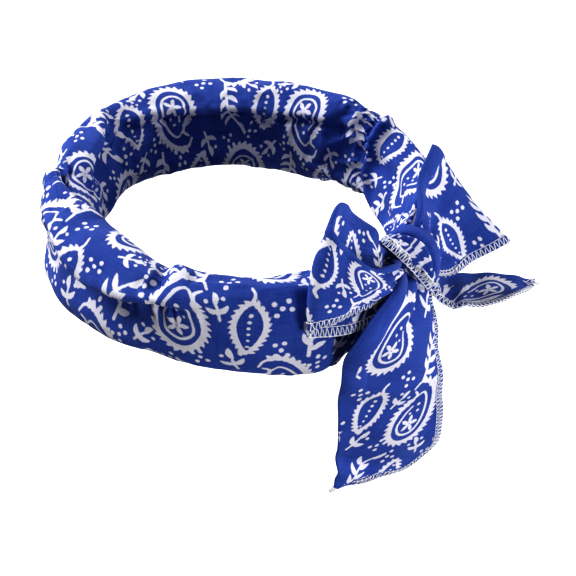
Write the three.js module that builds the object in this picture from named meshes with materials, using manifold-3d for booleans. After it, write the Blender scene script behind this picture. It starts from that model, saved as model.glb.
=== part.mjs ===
// A cooling neck wrap. It is one long cotton strip, folded double and overlocked along its open edge.
// Its middle is stuffed into a plump tube that rings the neck, and its empty ends are tied in a bow in front.
// Millimetres, +Z up. The origin is the middle of the neck hollow, and the knot is at the front, on -Y.

import * as THREE from "three";
import { mergeVertices } from "three/addons/utils/BufferGeometryUtils.js";
import Module from "manifold-3d";

const wasm = await Module();
wasm.setup();

// The ring of stuffed tube
const ringRadius = 93; // from the neck's axis to the middle of the tube
const tubeHeight = 54;
const tubeDepth = 30; // from the neck outwards

// The strip
const tieWidth = 57; // flat, from its folded edge to its overlocked edge
const clothWall = 1.4; // two layers of cotton
const edgingWidth = 4.2; // the overlocked stitches along the open edge
const edgingWall = 1.9;

// The knot
const knotSink = 8; // how far its middle lies behind the tube's outer face
const knotRise = 5; // its middle above the middle of the ring
const knotWidth = 30;
const knotDepth = 27;
const knotHeight = 44;
const knotFold = 0.06; // how far the folds of the strip round it stand up, as a share of its radius

// How far the loops and tails of the bow reach from the middle of the knot
const nearLoopReach = 72;
const farLoopReach = 52;
const longTailReach = 116;
const shortTailReach = 62;

// The stretches of the ring, as turns from the knot in degrees, clockwise seen from above
const nearLeadStart = 4;
const tubeStart = 25;
const tubeEnd = 291;
const farLeadEnd = 356;

const gap = 0.4; // between pieces that touch
const edgingGap = 1.2; // between the cloth and its stiffer edging, where both bend
const turnStep = 5; // degrees of the ring for each section of the loft
const sectionSides = 28;
const sectionPower = 2.3; // 2 is an ellipse, and more is squarer
const creaseSpread = 24; // degrees of the section that a lengthwise crease takes
const seamAngle = 276; // where the tube's seam runs, in degrees round the section from its outer face
const seamStand = 3; // how far the seam's flap stands off the tube
const stripSides = 6; // facets across the cloth of the loops and tails
const knotSides = 24;
const knotLevels = 14;

const knotRadius = ringRadius + tubeDepth / 2 - knotSink;

// The ring, a row for each place where it changes. radius is a share of ringRadius, rise and height are
// shares of tubeHeight, and depth and both creases are shares of tubeDepth. lean tips the section's top
// outwards, in degrees. outCrease and inCrease are the lengthwise folds in the tube's outer and inner side.
const ringRows = [
  { turn: 4, radius: 1.0, rise: 0.11, height: 0.36, depth: 0.34, lean: 0, outCrease: 0, inCrease: 0 },
  { turn: 14, radius: 0.97, rise: 0.0, height: 0.66, depth: 0.36, lean: 0, outCrease: 0, inCrease: 0 },
  { turn: 25, radius: 0.98, rise: -0.08, height: 1.0, depth: 0.64, lean: 0, outCrease: 0, inCrease: 0 },
  { turn: 38, radius: 1.02, rise: -0.05, height: 1.04, depth: 1.02, lean: 0, outCrease: 0, inCrease: 0 },
  { turn: 54, radius: 1.01, rise: -0.01, height: 1.02, depth: 1.1, lean: 2, outCrease: 0, inCrease: 0 },
  { turn: 70, radius: 0.99, rise: 0.02, height: 0.98, depth: 1.14, lean: 4, outCrease: 0.02, inCrease: 0 },
  { turn: 85, radius: 0.98, rise: 0.02, height: 0.95, depth: 1.08, lean: 2, outCrease: 0.1, inCrease: 0.05 },
  { turn: 100, radius: 0.97, rise: 0.02, height: 0.98, depth: 1.16, lean: -3, outCrease: 0.2, inCrease: 0 },
  { turn: 124, radius: 0.98, rise: 0.02, height: 0.96, depth: 1.16, lean: -4, outCrease: 0.22, inCrease: 0 },
  { turn: 142, radius: 0.98, rise: 0.01, height: 0.95, depth: 1.0, lean: 0, outCrease: 0.16, inCrease: 0 },
  { turn: 153, radius: 0.96, rise: 0, height: 0.94, depth: 0.82, lean: 4, outCrease: 0.04, inCrease: 0.04 },
  { turn: 170, radius: 0.98, rise: 0, height: 0.98, depth: 0.92, lean: 4, outCrease: 0, inCrease: 0.04 },
  { turn: 190, radius: 1.0, rise: 0, height: 0.94, depth: 0.88, lean: 6, outCrease: 0, inCrease: 0.1 },
  { turn: 212, radius: 0.99, rise: 0, height: 0.97, depth: 1.04, lean: 4, outCrease: 0, inCrease: 0.14 },
  { turn: 240, radius: 0.95, rise: 0, height: 0.98, depth: 1.04, lean: 2, outCrease: 0, inCrease: 0.16 },
  { turn: 268, radius: 0.93, rise: 0, height: 1.0, depth: 0.98, lean: 2, outCrease: 0, inCrease: 0.1 },
  { turn: 284, radius: 0.95, rise: 0.02, height: 0.96, depth: 0.8, lean: 6, outCrease: 0, inCrease: 0.03 },
  { turn: 292, radius: 0.95, rise: 0.03, height: 0.86, depth: 0.6, lean: 14, outCrease: 0, inCrease: 0 },
  { turn: 306, radius: 0.94, rise: 0.01, height: 0.86, depth: 0.42, lean: 28, outCrease: 0, inCrease: 0 },
  { turn: 322, radius: 0.95, rise: 0.0, height: 0.8, depth: 0.34, lean: 32, outCrease: 0, inCrease: 0 },
  { turn: 340, radius: 0.94, rise: 0.02, height: 0.58, depth: 0.32, lean: 22, outCrease: 0, inCrease: 0 },
  { turn: 356, radius: 0.97, rise: 0.11, height: 0.34, depth: 0.32, lean: 8, outCrease: 0, inCrease: 0 },
];

// Each row of a strip gives the place of its overlocked edge, from the middle of the knot, in shares of the
// strip's reach, and the way from there to its folded edge, in shares of tieWidth. Both are [side, out, up]:
// side is towards +X and out is away from the neck. bulge is a share of tieWidth, and lifts the middle of the
// strip off the line between its two edges. at is 0 at the knot.
const nearLoopRows = [
  { at: 0.0, edge: [-0.1, 0.05, -0.06], toFold: [0, 0.01, 0.25], bulge: 0 },
  { at: 0.14, edge: [-0.38, 0.04, 0.05], toFold: [-0.08, 0.03, 0.29], bulge: 0.03 },
  { at: 0.24, edge: [-0.62, 0.05, 0.09], toFold: [-0.03, -0.04, 0.34], bulge: 0.06 },
  { at: 0.36, edge: [-0.88, -0.03, 0.1], toFold: [0.15, -0.04, 0.53], bulge: 0.07 },
  { at: 0.47, edge: [-1.14, -0.18, 0.11], toFold: [0.48, -0.05, 0.77], bulge: 0.06 },
  { at: 0.53, edge: [-1.12, -0.2, 0.03], toFold: [0.73, -0.1, 0.9], bulge: 0.02 },
  { at: 0.66, edge: [-0.86, -0.02, -0.04], toFold: [0.61, -0.28, 0.72], bulge: -0.03 },
  { at: 0.82, edge: [-0.48, 0.03, -0.1], toFold: [0.27, -0.21, 0.58], bulge: -0.02 },
  { at: 1.0, edge: [-0.1, 0, -0.1], toFold: [0, -0.06, 0.3], bulge: 0 },
];
const farLoopRows = [
  { at: 0.0, edge: [0.08, 0.14, -0.14], toFold: [0, -0.07, 0.35], bulge: 0 },
  { at: 0.16, edge: [0.34, 0.26, -0.26], toFold: [-0.19, -0.24, 0.69], bulge: 0.05 },
  { at: 0.32, edge: [0.62, 0.4, -0.22], toFold: [-0.2, -0.46, 0.78], bulge: 0.06 },
  { at: 0.46, edge: [0.92, 0.6, -0.12], toFold: [-0.14, -0.71, 0.77], bulge: 0.06 },
  { at: 0.54, edge: [1, 0.56, -0.2], toFold: [-0.14, -0.73, 0.77], bulge: 0.02 },
  { at: 0.68, edge: [0.82, 0.4, -0.25], toFold: [-0.17, -0.57, 0.67], bulge: -0.02 },
  { at: 0.84, edge: [0.52, 0.24, -0.28], toFold: [-0.13, -0.31, 0.57], bulge: 0 },
  { at: 1.0, edge: [0.14, 0.08, -0.18], toFold: [0, -0.11, 0.29], bulge: 0 },
];
const longTailRows = [
  { at: 0.0, edge: [-0.02, 0.08, -0.05], toFold: [-0.06, -0.04, 0.22], bulge: 0 },
  { at: 0.08, edge: [-0.01, 0.1, -0.12], toFold: [-0.37, -0.04, 0.47], bulge: 0.01 },
  { at: 0.18, edge: [-0.01, 0.12, -0.2], toFold: [-0.65, -0.08, 0.59], bulge: 0.03 },
  { at: 0.32, edge: [-0.04, 0.16, -0.3], toFold: [-0.92, -0.22, 0.67], bulge: 0.06 },
  { at: 0.45, edge: [-0.07, 0.19, -0.4], toFold: [-1.02, -0.37, 0.61], bulge: 0.07 },
  { at: 0.58, edge: [-0.08, 0.21, -0.56], toFold: [-0.96, -0.51, 0.59], bulge: 0.06 },
  { at: 0.72, edge: [-0.06, 0.22, -0.78], toFold: [-0.96, -0.57, 0.53], bulge: 0.05 },
  { at: 0.83, edge: [-0.06, 0.18, -0.96], toFold: [-0.92, -0.51, 0.53], bulge: 0.04 },
  { at: 0.91, edge: [-0.18, 0.08, -1.04], toFold: [-0.67, -0.31, 0.45], bulge: 0.02 },
  { at: 1.0, edge: [-0.49, -0.06, -0.98], toFold: [-0.08, -0.02, 0.06], bulge: 0 },
];
const shortTailRows = [
  { at: 0.0, edge: [0.04, 0.14, -0.2], toFold: [0.07, -0.12, 0.04], bulge: 0 },
  { at: 0.2, edge: [0.03, 0.32, -0.34], toFold: [0.38, -0.26, -0.02], bulge: 0.04 },
  { at: 0.45, edge: [0.12, 0.46, -0.36], toFold: [0.59, -0.27, -0.11], bulge: 0.05 },
  { at: 0.7, edge: [0.32, 0.6, -0.41], toFold: [0.59, -0.22, -0.13], bulge: 0.04 },
  { at: 0.88, edge: [0.58, 0.68, -0.47], toFold: [0.4, -0.11, -0.1], bulge: 0.02 },
  { at: 1.0, edge: [0.9, 0.73, -0.55], toFold: [0.1, -0.03, -0.03], bulge: 0 },
];

// A value of a table between its rows: a cubic through them, with the slope of each row's neighbours.
function between(rows, key, pick, x) {
  const last = rows.length - 1;
  let i = 0;
  while (i < last - 1 && x > rows[i + 1][key]) i += 1;
  const slope = (k) => {
    const a = rows[Math.max(k - 1, 0)];
    const b = rows[Math.min(k + 1, last)];
    return (pick(b) - pick(a)) / (b[key] - a[key]);
  };
  const span = rows[i + 1][key] - rows[i][key];
  const t = THREE.MathUtils.clamp((x - rows[i][key]) / span, 0, 1);
  const [t2, t3] = [t * t, t * t * t];
  return (
    (2 * t3 - 3 * t2 + 1) * pick(rows[i]) +
    (t3 - 2 * t2 + t) * span * slope(i) +
    (3 * t2 - 2 * t3) * pick(rows[i + 1]) +
    (t3 - t2) * span * slope(i + 1)
  );
}

// The solid between rings of points. Each ring is one section, and flat fans close the first and the last.
function loft(rings) {
  const sides = rings[0].length;
  const points = rings.flat();
  const faces = [];
  for (let i = 0; i < rings.length - 1; i += 1) {
    for (let j = 0; j < sides; j += 1) {
      const a = i * sides + j;
      const b = i * sides + ((j + 1) % sides);
      faces.push(a, b, b + sides, a, b + sides, a + sides);
    }
  }
  for (const [start, flip] of [[0, true], [(rings.length - 1) * sides, false]]) {
    const middle = new THREE.Vector3();
    for (let j = 0; j < sides; j += 1) middle.addScaledVector(points[start + j], 1 / sides);
    const hub = points.push(middle) - 1;
    for (let j = 0; j < sides; j += 1) {
      const a = start + j;
      const b = start + ((j + 1) % sides);
      faces.push(...(flip ? [hub, b, a] : [hub, a, b]));
    }
  }
  const geometry = new THREE.BufferGeometry().setFromPoints(points);
  geometry.setIndex(faces);
  return facingOut(geometry);
}

// The same solid with its faces turned outwards, judged by the sign of its volume.
function facingOut(geometry) {
  const { position } = geometry.attributes;
  const at = (i) => new THREE.Vector3().fromBufferAttribute(position, geometry.index.getX(i));
  let volume = 0;
  for (let i = 0; i < geometry.index.count; i += 3) volume += at(i).dot(at(i + 1).cross(at(i + 2)));
  if (volume < 0) {
    const order = geometry.index.array;
    for (let i = 0; i < order.length; i += 3) [order[i + 1], order[i + 2]] = [order[i + 2], order[i + 1]];
  }
  return geometry;
}

// The ring at a turn from the knot: its values there, and the way from a place in the section, across and
// high, to a place in space. The section leans in the upright plane through the neck's axis.
function ringAt(turn) {
  const value = (name) => between(ringRows, "turn", (row) => row[name], turn);
  const heading = THREE.MathUtils.degToRad(-90 - turn);
  const lean = THREE.MathUtils.degToRad(value("lean"));
  const place = (across, high) => {
    const out = value("radius") * ringRadius + across * Math.cos(lean) + high * Math.sin(lean);
    const up = value("rise") * tubeHeight + high * Math.cos(lean) - across * Math.sin(lean);
    return new THREE.Vector3(out * Math.cos(heading), out * Math.sin(heading), up);
  };
  return { value, place };
}

// The section's outline at an angle from its outer face: a squarish oval, creased on both sides.
function sectionOutline(value, degrees) {
  const angle = THREE.MathUtils.degToRad(degrees);
  const round = (part) => Math.sign(part) * Math.abs(part) ** (2 / sectionPower);
  const crease = (centre) => Math.exp(-(((degrees - centre) / creaseSpread) ** 2));
  const dent = value("outCrease") * (crease(0) + crease(360)) - value("inCrease") * crease(180);
  return [
    (round(Math.cos(angle)) * value("depth") * tubeDepth) / 2 - dent * tubeDepth,
    (round(Math.sin(angle)) * value("height") * tubeHeight) / 2,
  ];
}

function tubeSection(turn) {
  const { value, place } = ringAt(turn);
  return Array.from({ length: sectionSides }, (_, k) => {
    const degrees = (360 * k) / sectionSides;
    return place(...sectionOutline(value, degrees));
  });
}

// The flap of overlocked seam that stands off the tube's lower edge.
function seamSection(turn) {
  const { value, place } = ringAt(turn);
  const [across, high] = sectionOutline(value, seamAngle);
  const angle = THREE.MathUtils.degToRad(seamAngle);
  const corner = (off, aside) =>
    place(
      across + off * Math.cos(angle) - aside * Math.sin(angle),
      high + off * Math.sin(angle) + aside * Math.cos(angle),
    );
  const [near, far, half] = [gap, gap + seamStand, edgingWall / 2];
  return [corner(near, -half), corner(far, -half), corner(far, half), corner(near, half)];
}

// A stretch of the ring between two turns, as one solid of the given sections.
function ringStretch(section, from, to) {
  const steps = Math.round((to - from) / turnStep);
  return loft(Array.from({ length: steps + 1 }, (_, i) => section(from + ((to - from) * i) / steps)));
}

// The degrees of turn that open half a gap along the ring.
const halfGapTurn = THREE.MathUtils.radToDeg(gap / 2 / ringRadius);

// The knot: an upright bundle with the folds of the strip raised round it. grow adds to it on every side.
function knotSolid(grow) {
  const folds = 3;
  const topRise = 80; // degrees of the bundle's own rise, where it is closed flat
  const rings = Array.from({ length: knotLevels + 1 }, (_, i) => {
    const rise = THREE.MathUtils.degToRad(-topRise + (2 * topRise * i) / knotLevels);
    return Array.from({ length: knotSides }, (_, k) => {
      const angle = (2 * Math.PI * k) / knotSides;
      const fold = 1 + knotFold * Math.cos(folds * angle + 2 * rise);
      return new THREE.Vector3(
        Math.cos(rise) * Math.cos(angle) * ((fold * knotWidth) / 2 + grow),
        Math.cos(rise) * Math.sin(angle) * ((fold * knotDepth) / 2 + grow),
        Math.sin(rise) * (knotHeight / 2 + grow),
      );
    });
  });
  return loft(rings).translate(0, -knotRadius, knotRise);
}

// A point on a flat strip: along is 0 at the knot and 1 at its end, across is 0 at its fold and 1 at its edge.
function stripPoint(rows, reach, along, across) {
  const vector = (name) => {
    const [side, out, up] = [0, 1, 2].map((axis) => between(rows, "at", (row) => row[name][axis], along));
    return new THREE.Vector3(side, -out, up);
  };
  return vector("edge").multiplyScalar(reach).addScaledVector(vector("toFold"), (1 - across) * tieWidth);
}

// The strip's surface with its bulge, as a function of along and across.
function stripSurface(rows, reach) {
  const flat = (u, v) => stripPoint(rows, reach, u, v);
  const small = 0.01;
  const normal = (surface, u, v) => {
    const alongStrip = surface(Math.min(u + small, 1), v).sub(surface(Math.max(u - small, 0), v));
    const acrossStrip = surface(u, Math.min(v + small, 1)).sub(surface(u, Math.max(v - small, 0)));
    return alongStrip.cross(acrossStrip).normalize();
  };
  const bulged = (u, v) => {
    const lift = between(rows, "at", (row) => row.bulge, u) * tieWidth * Math.sin(Math.PI * v);
    return flat(u, v).addScaledVector(normal(flat, u, v), lift);
  };
  return {
    point: bulged,
    normal: (u, v) => normal(bulged, u, v),
    width: (u) => flat(u, 0).distanceTo(flat(u, 1)),
  };
}

// A band of a strip between two distances from its overlocked edge, thickened on both faces of the surface.
// With no far distance it reaches the fold.
function stripBand(surface, steps, sides, wall, nearEdge, farEdge = Infinity) {
  const rings = Array.from({ length: steps + 1 }, (_, i) => {
    const along = i / steps;
    const width = surface.width(along);
    const [near, far] = [1 - nearEdge / width, Math.max(1 - farEdge / width, 0)];
    const face = (side) =>
      Array.from({ length: sides + 1 }, (_, k) => {
        const across = far + ((near - far) * k) / sides;
        return surface.point(along, across).addScaledVector(surface.normal(along, across), (side * wall) / 2);
      });
    return [...face(1), ...face(-1).reverse()];
  });
  return loft(rings).translate(0, -knotRadius, knotRise);
}

function solidOf(geometry) {
  const merged = mergeVertices(geometry, 1e-4);
  return new wasm.Manifold(
    new wasm.Mesh({
      numProp: 3,
      vertProperties: merged.attributes.position.array,
      triVerts: new Uint32Array(merged.index.array),
    }),
  );
}

// A piece without the room that the knot takes, so that it ends a gap short of the knot.
function endingAtKnot(geometry) {
  const mesh = solidOf(geometry).subtract(solidOf(knotSolid(gap))).getMesh();
  const cut = new THREE.BufferGeometry();
  cut.setAttribute("position", new THREE.BufferAttribute(mesh.vertProperties, 3));
  cut.setIndex(new THREE.BufferAttribute(mesh.triVerts, 1));
  return cut;
}

const printedCotton = new THREE.MeshStandardMaterial({ color: 0x2b44a4, roughness: 0.85, metalness: 0 });
const overlockThread = new THREE.MeshStandardMaterial({ color: 0xe6e4ea, roughness: 0.9, metalness: 0 });

const wrap = new THREE.Group();

function add(name, geometry, material) {
  const mesh = new THREE.Mesh(geometry, material);
  mesh.name = name;
  wrap.add(mesh);
}

const nearLead = ringStretch(tubeSection, nearLeadStart, tubeStart - halfGapTurn);
const farLead = ringStretch(tubeSection, tubeEnd + halfGapTurn, farLeadEnd);
add("padded_tube", ringStretch(tubeSection, tubeStart + halfGapTurn, tubeEnd - halfGapTurn), printedCotton);
add("tube_seam", ringStretch(seamSection, tubeStart + halfGapTurn, tubeEnd - halfGapTurn), overlockThread);
add("near_lead", endingAtKnot(nearLead), printedCotton);
add("far_lead", endingAtKnot(farLead), printedCotton);
add("knot", knotSolid(0), printedCotton);

const strips = [
  { name: "near_loop", rows: nearLoopRows, reach: nearLoopReach, steps: 40 },
  { name: "far_loop", rows: farLoopRows, reach: farLoopReach, steps: 30 },
  { name: "long_tail", rows: longTailRows, reach: longTailReach, steps: 24 },
  { name: "short_tail", rows: shortTailRows, reach: shortTailReach, steps: 18 },
];
for (const { name, rows, reach, steps } of strips) {
  const surface = stripSurface(rows, reach);
  const cloth = stripBand(surface, steps, stripSides, clothWall, edgingWidth + edgingGap);
  const edging = stripBand(surface, steps, 1, edgingWall, 0, edgingWidth);
  add(name, endingAtKnot(cloth), printedCotton);
  add(name + "_edging", endingAtKnot(edging), overlockThread);
}

export default wrap;
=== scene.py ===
import bpy
import numpy as np
from mathutils import Matrix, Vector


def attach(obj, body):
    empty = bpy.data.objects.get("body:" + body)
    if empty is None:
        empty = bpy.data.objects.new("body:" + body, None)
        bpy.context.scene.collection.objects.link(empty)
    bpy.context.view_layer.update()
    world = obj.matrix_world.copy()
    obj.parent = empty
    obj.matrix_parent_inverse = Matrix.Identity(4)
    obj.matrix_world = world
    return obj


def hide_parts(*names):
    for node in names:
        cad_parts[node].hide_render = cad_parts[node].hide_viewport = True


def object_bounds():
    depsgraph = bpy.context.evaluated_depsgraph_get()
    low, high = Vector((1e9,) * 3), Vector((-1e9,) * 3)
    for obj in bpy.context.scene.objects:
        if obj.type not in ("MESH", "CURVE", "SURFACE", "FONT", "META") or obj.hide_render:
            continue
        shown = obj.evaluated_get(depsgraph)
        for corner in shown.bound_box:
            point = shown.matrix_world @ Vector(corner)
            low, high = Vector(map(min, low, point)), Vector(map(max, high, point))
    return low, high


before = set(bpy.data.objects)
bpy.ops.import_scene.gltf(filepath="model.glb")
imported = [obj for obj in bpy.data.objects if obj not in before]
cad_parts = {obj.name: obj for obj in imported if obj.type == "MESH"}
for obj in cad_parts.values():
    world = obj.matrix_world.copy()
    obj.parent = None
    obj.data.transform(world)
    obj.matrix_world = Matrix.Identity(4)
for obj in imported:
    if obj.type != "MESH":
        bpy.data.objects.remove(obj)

solid_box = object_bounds()
mm = 0.001

# The cloth. Light plain weave cotton, dyed blue and block printed in white with serrated teardrops, twigs
# and dots. Every piece of the wrap is cut from it, so one repeat of the print is worked out here, as the
# distance from the print's edge in millimetres, negative inside the white and at most open_ground.
print_scale = 0.85
repeat_wide, repeat_high = 104 * print_scale, 96 * print_scale
repeat_step = 0.4
open_ground = 6.0


def through(places, values, x):
    """Values between the rows of a table: a cubic through them, on which each row's slope is the slope from
    the row before it to the row after it."""
    places, values, x = (np.asarray(part, float) for part in (places, values, x))
    rows = np.arange(len(places))
    before, after = np.maximum(rows - 1, 0), np.minimum(rows + 1, len(rows) - 1)
    slope = (values[after] - values[before]) / (places[after] - places[before])[:, None]
    i = np.clip(np.searchsorted(places, x, side="right") - 1, 0, len(places) - 2)
    span = (places[i + 1] - places[i])[..., None]
    t = np.clip((x - places[i])[..., None] / span, 0, 1)
    return (
        (2 * t**3 - 3 * t**2 + 1) * values[i]
        + (t**3 - 2 * t**2 + t) * span * slope[i]
        + (3 * t**2 - 2 * t**3) * values[i + 1]
        + (t**3 - t**2) * span * slope[i + 1]
    )


def brush(line, widths, fine=5):
    """A stroke: rows of x, y and half width, along a smooth line through a few points."""
    rows = np.column_stack([line, np.asarray(widths, float) / 2])
    return through(np.arange(len(rows)), rows, np.linspace(0, len(rows) - 1, fine * (len(rows) - 1) + 1))


def dot(x, y, size):
    """A short thick stroke, which prints as a dot that is a little longer than wide."""
    return np.array([[x, y, size / 2], [x + 0.3, y + 0.2, size / 2]])


def leaf(x, y, heading, length, width, curl=0.12):
    """A solid leaf from its stalk at x, y. Its width swells and closes as a sine, and so does its curl."""
    stalk = 0.3
    t = np.linspace(0, 1, 8)
    ahead = np.array([np.cos(np.radians(heading)), np.sin(np.radians(heading))])
    aside = np.array([-ahead[1], ahead[0]])
    line = [x, y] + np.outer(length * t, ahead) + np.outer(curl * length * np.sin(np.pi * t), aside)
    return np.column_stack([line, stalk + (width / 2 - stalk) * np.sin(np.pi * t**0.85)])


def ring(x, y, size, width):
    """An open circle, for the eye of a flower."""
    turn = np.linspace(0, 2 * np.pi, 13)
    line = np.column_stack([x + size / 2 * np.cos(turn), y + size / 2 * np.sin(turn)])
    return np.column_stack([line, np.full(len(turn), width / 2)])


def teeth(outline, spacing, length, width):
    """Serration on the left of an outline: tapered strokes at equal spacing, leaning back from its run."""
    outwards, backwards, taper, point = 0.86, 0.5, 0.36, 0.12
    step = np.diff(outline[:, :2], axis=0)
    run = np.concatenate([[0], np.cumsum(np.hypot(*step.T))])
    places = np.arange(spacing / 2, run[-1], spacing)
    root = through(run, outline, places)
    ahead = np.stack([np.interp(places, run[1:], step[:, k]) for k in (0, 1)], -1)
    ahead /= np.hypot(*ahead.T)[:, None]
    aside = np.stack([-ahead[:, 1], ahead[:, 0]], -1)
    tip = root[:, :2] + length * (outwards * aside - backwards * ahead)
    return [
        np.array([[*a[:2], width / 2], [*(0.5 * (a[:2] + b)), width * taper], [*b, point]])
        for a, b in zip(root, tip)
    ]


def teardrop():
    """A serrated drop with a curled tip, a second line inside it, and dots and a five-petalled flower."""
    outline = brush(
        [(-10, 22), (-6, 27), (2, 26), (9, 19), (13, 8), (14, -4), (9, -15), (-1, -20), (-10, -16),
         (-14, -6), (-12, 4), (-7, 11), (-5, 17), (-8, 20)],
        [1.2, 1.6, 2.2, 2.8, 3.0, 3.0, 3.0, 3.0, 3.0, 2.8, 2.4, 2.0, 1.6, 1.2],
    )
    strokes = [outline] + teeth(outline[6:-8], 3.6, 4.4, 3.0)
    strokes += [
        brush([(-5, 15), (0, 19), (5, 14), (8, 6), (8.5, -4), (4, -12), (-4, -13), (-9, -7), (-7, 1),
               (-3, 8)],
              [1.1, 1.3, 1.4, 1.5, 1.5, 1.5, 1.5, 1.4, 1.2, 1.1]),
        ring(0, -5, 2.6, 1.1), dot(1, 9.5, 2.0), dot(2.6, 4.6, 1.7), dot(-2.6, 2.4, 1.5),
    ]
    strokes += [leaf(1.9 * np.cos(a), -5 + 1.9 * np.sin(a), np.degrees(a), 4.3, 2.6, 0.05)
                for a in np.radians([90, 162, 234, 306, 18])]
    return strokes


def serrated_leaf():
    """A pointed leaf, open inside, with toothed sides and a row of dots for its vein."""
    outlines = []
    for side in (-1, 1):
        line = [(0, -17), (side * 6, -11), (side * 8.5, -2), (side * 6, 8), (0, 18)]
        toothed = brush(line if side < 0 else line[::-1], [1.6, 2.4, 2.6, 2.2, 1.4])
        outlines += [toothed] + teeth(toothed[1:-1], 3.4, 3.8, 2.6)
    vein = [dot(0.4 * np.sin(k), -9 + 4.2 * k, 2.1 - 0.16 * k) for k in range(6)]
    return outlines + vein + [brush([(0, -17), (-1, -21), (1, -25)], [1.8, 1.5, 1.2])]


def twig():
    """A bent stem with solid leaves along both sides and one at its end."""
    stem = brush([(-4, -19), (-1, -10), (1, 0), (0, 9), (-3, 17)], [1.7, 1.6, 1.5, 1.3, 1.2])
    pairs = [(-2.6, -14, 8.5), (-0.4, -7, 9), (1, 0, 9), (0.6, 7, 7.5)]
    leaves = [leaf(-3, 16, 112, 8, 3.2)]
    for x, y, length in pairs:
        leaves += [leaf(x, y, 140, length, 3.4), leaf(x, y + 2.5, 38, length, 3.2, -0.12)]
    return [stem] + leaves


def five():
    """A group of five dots."""
    return [dot(x, y, 2.3) for x, y in [(0, 0), (4.6, 0.8), (-4.4, 1), (2, 4.6), (-1.6, -4.4)]]


def sprig():
    """Three leaves from one short stalk, with a dot on each side."""
    return [brush([(0, -7), (0, 0), (1, 4)], [1.4, 1.3, 1.2]), leaf(1, 3, 88, 7, 3.2), leaf(0, -2, 150, 7, 3),
            leaf(0, -2, 32, 7, 3, -0.12), dot(-4, 5.5, 2), dot(5.5, 5, 2)]


def placed(strokes, x, y, turn, size=1.0, flip=1):
    """Strokes mirrored, sized, turned and set down on the cloth."""
    c, s = np.cos(np.radians(turn)), np.sin(np.radians(turn))
    matrix = size * np.array([[c * flip, -s], [s * flip, c]])
    return [np.column_stack([part[:, :2] @ matrix.T + [x, y], part[:, 2] * size]) for part in strokes]


# each motif: where it lies on the repeat, its turn in degrees, its size, and -1 where it is mirrored
motifs = [
    (teardrop, 20, 26, 8, 1.0, 1), (teardrop, 72, 74, -10, 1.0, -1), (serrated_leaf, 53, 24, -6, 0.95, 1),
    (serrated_leaf, 3, 73, 172, 0.9, 1), (twig, 82, 24, 14, 1.0, 1), (twig, 35, 72, -24, 1.0, -1),
    (sprig, 99, 50, 20, 1.0, 1), (sprig, 50, 53, -40, 0.95, 1), (five, 66, 42, 10, 1.0, 1),
    (five, 18, 58, 60, 1.0, 1), (five, 36, 46, 25, 0.95, 1), (five, 97, 4, 0, 1.0, 1),
    (five, 52, 88, 35, 1.0, 1), (five, 19, 84, -20, 1.0, 1), (sprig, 68, 5, 60, 0.95, 1),
    (sprig, 36, 2, -70, 0.95, -1), (five, 83, 50, 80, 0.9, 1), (sprig, 92, 84, 10, 0.9, -1),
    (five, 44, 8, 50, 0.7, 1),
]


def one_repeat():
    """The print's distance map. Each stroke is a chain of capsules of changing width: the distance to its
    line, less the width there. The least over all strokes stays, and what leaves the repeat on one side
    comes in at the other."""
    lines, columns = round(repeat_high / repeat_step), round(repeat_wide / repeat_step)
    design = np.full((lines, columns), open_ground)
    for shape, *place in motifs:
        for drawn in placed(shape(), *place):
            stroke = drawn * print_scale
            low = np.floor((stroke[:, :2].min(0) - open_ground) / repeat_step).astype(int)
            high = np.ceil((stroke[:, :2].max(0) + open_ground) / repeat_step).astype(int)
            column, line = np.arange(low[0], high[0] + 1), np.arange(low[1], high[1] + 1)
            x, y = np.meshgrid(column * repeat_step, line * repeat_step)
            start, run = stroke[:-1], np.diff(stroke, axis=0)
            away_x, away_y = x[..., None] - start[:, 0], y[..., None] - start[:, 1]
            t = (away_x * run[:, 0] + away_y * run[:, 1]) / (run[:, 0] ** 2 + run[:, 1] ** 2 + 1e-9)
            t = np.clip(t, 0, 1)
            near = np.hypot(away_x - t * run[:, 0], away_y - t * run[:, 1]) - start[:, 2] - t * run[:, 2]
            there = np.ix_(line % lines, column % columns)
            design[there] = np.minimum(design[there], near.min(-1))
    return design


cloth_design = one_repeat()


def printed(x, y):
    """The print's distance at places on the flat cloth, linear between the four map points round each."""
    column, line = np.asarray(x) / repeat_step, np.asarray(y) / repeat_step
    i, j = np.floor(line).astype(int), np.floor(column).astype(int)
    u, v = column - j, line - i
    lines, columns = cloth_design.shape

    def at(di, dj):
        return cloth_design[(i + di) % lines, (j + dj) % columns]

    return (1 - v) * ((1 - u) * at(0, 0) + u * at(0, 1)) + v * ((1 - u) * at(1, 0) + u * at(1, 1))


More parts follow.
